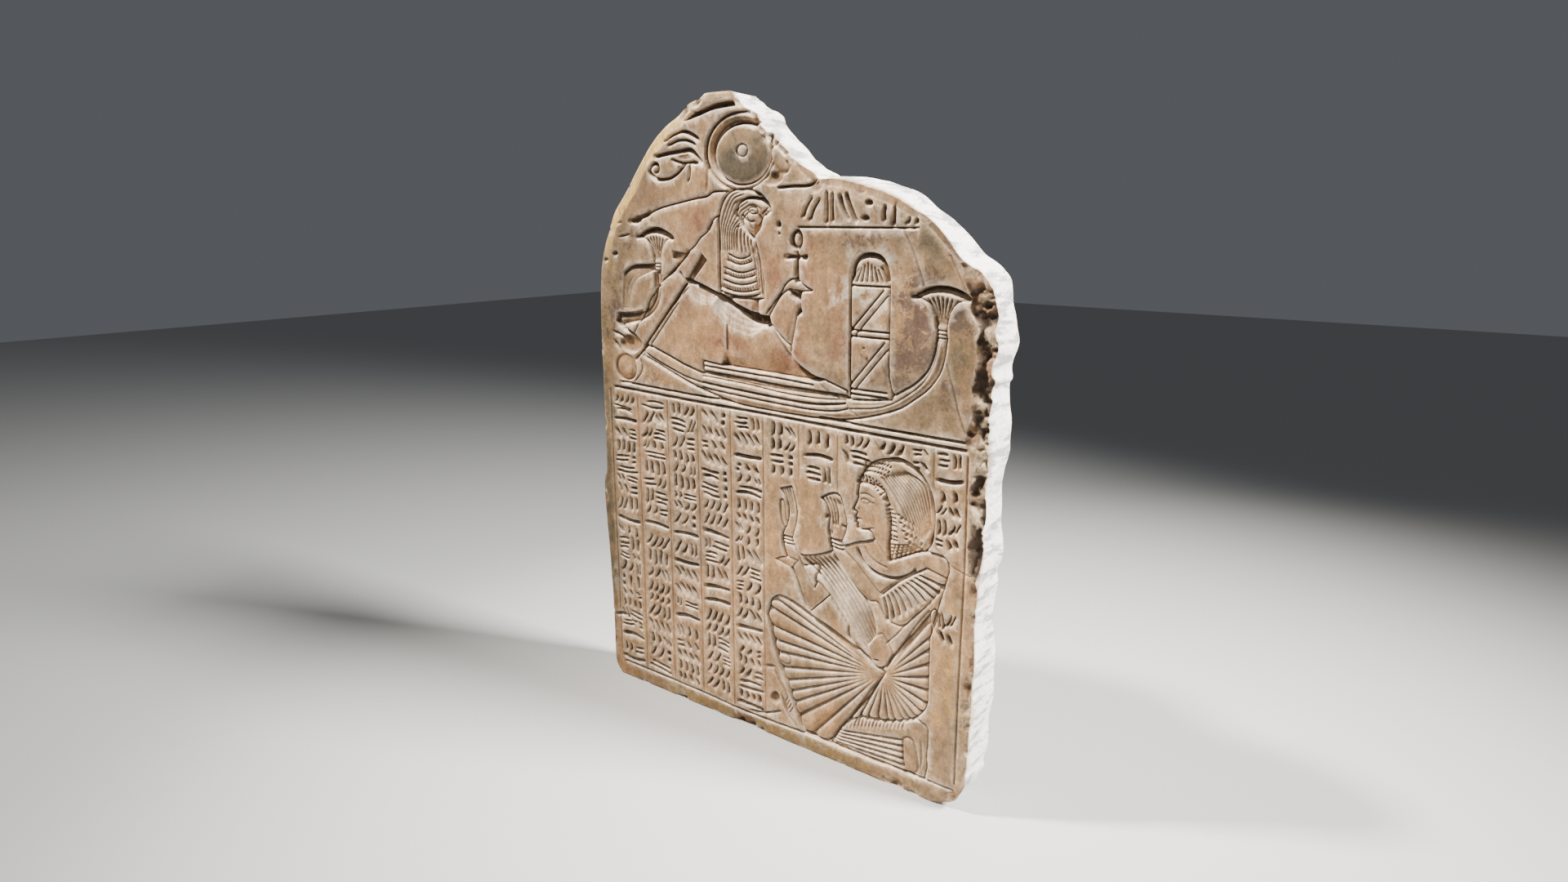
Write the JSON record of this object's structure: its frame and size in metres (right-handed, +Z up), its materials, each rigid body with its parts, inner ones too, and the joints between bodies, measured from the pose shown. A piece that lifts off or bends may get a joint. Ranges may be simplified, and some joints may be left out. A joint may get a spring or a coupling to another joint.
{
  "type": "carved stone stele",
  "caption": "Round-topped limestone stele with a broken upper corner, sunk relief of a god in a boat above a kneeling man, and columns of shallow strokes.",
  "frame": {"origin": "centre of the underside that the slab stands on", "axes": "+Z up the height of the slab, -Y out of the carved face, +X to the right as seen from the front"},
  "size_m": [0.483, 0.044, 0.64],
  "materials": {
    "limestone": "weathered carved limestone, warm grey beige with ochre and reddish stains, matt"
  },
  "bodies": {
    "root": {"stele_slab": "limestone"}
  },
  "joints": []
}
